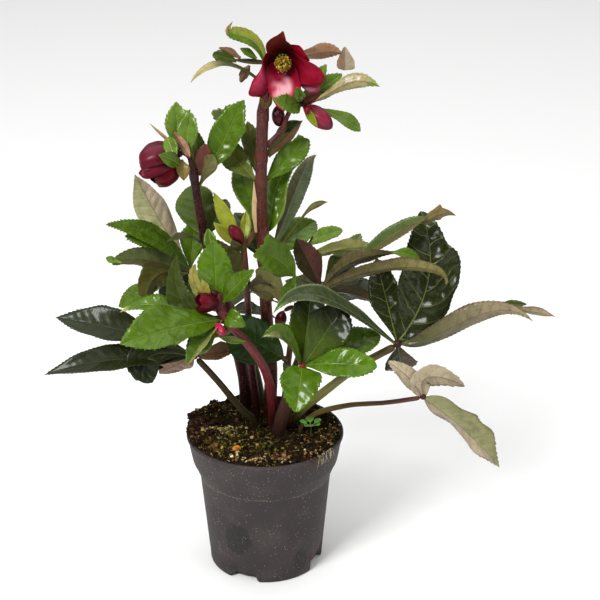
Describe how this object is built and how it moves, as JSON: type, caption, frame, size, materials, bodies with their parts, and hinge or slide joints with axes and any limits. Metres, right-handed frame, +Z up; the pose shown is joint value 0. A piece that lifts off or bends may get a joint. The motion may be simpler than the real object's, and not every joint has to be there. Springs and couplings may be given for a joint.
{
  "type": "potted hellebore plant",
  "caption": "Young hellebore in flower: maroon stems, toothed leaves and bracts, wine-red nodding blooms and buds, in a black plastic nursery pot of soil.",
  "frame": {"origin": "centre of the pot's foot, on the surface it stands on", "axes": "+Z up; -Y is the side the blooms and the widest leaves face; +X is the right of that side as seen from the front"},
  "size_m": [0.3976, 0.2358, 0.4514],
  "materials": {
    "pot": "matt, slightly scuffed, dusty with peat",
    "soil": "matt moist peat with crumbs and moss",
    "stem": "satin maroon with fine pale specks",
    "stalk": "satin olive green with brown edges",
    "leaf_mature": "satin dark green with pale veins",
    "leaf_young": "glossy bright green with fine teeth",
    "leaf_bronze": "dull beige-pink underside, olive upper side",
    "bract_lime": "satin yellow-green",
    "sepal": "satin wine red with pale edges",
    "bud": "satin dark wine red",
    "stamen": "matt golden olive",
    "seedling": "satin fresh green"
  },
  "bodies": {
    "root": {"stem_tall": "stem", "stem_left": "stem", "stem_short": "stem", "stem_front": "stem", "stem_hooked": "stem", "stalk_right": "stalk", "stalk_low": "stalk", "stalk_left": "stalk", "stalk_front": "stalk", "stalk_middle": "stalk", "stalk_upper_left": "stalk", "stalk_upper_right": "stalk", "stalk_back_left": "stalk", "stalk_back_right": "stalk", "bloom_top": "sepal", "bloom_left": "bud", "bloom_front": "bud", "stamens_top": "stamen", "bud_right": "bud", "bud_under_bloom": "bud", "bud_short": "bud", "bud_small": "bud", "bud_hooked": "bud", "leaf_right": "leaf_mature", "leaf_low": "leaf_bronze", "leaf_left": "leaf_mature", "leaf_front": "leaf_young", "leaf_middle": "leaf_mature", "leaf_upper_left": "leaf_bronze", "leaf_upper_right": "leaf_bronze", "leaf_back_left": "leaf_mature", "leaf_back_right": "leaf_mature", "bracts_front_low": "leaf_young", "bracts_front_high": "leaf_young", "bracts_short_top": "bract_lime", "bracts_short_low": "leaf_bronze", "bracts_left_low": "leaf_mature", "bracts_left_top": "leaf_young", "bracts_tall_low": "leaf_mature", "bracts_tall_middle": "leaf_young", "bracts_tall_high": "leaf_mature", "bract_tall_side": "leaf_bronze", "bracts_tall_top_left": "bract_lime", "bracts_tall_top_right": "leaf_young", "seedling": "seedling", "pot": "pot", "soil": "soil"}
  },
  "joints": []
}
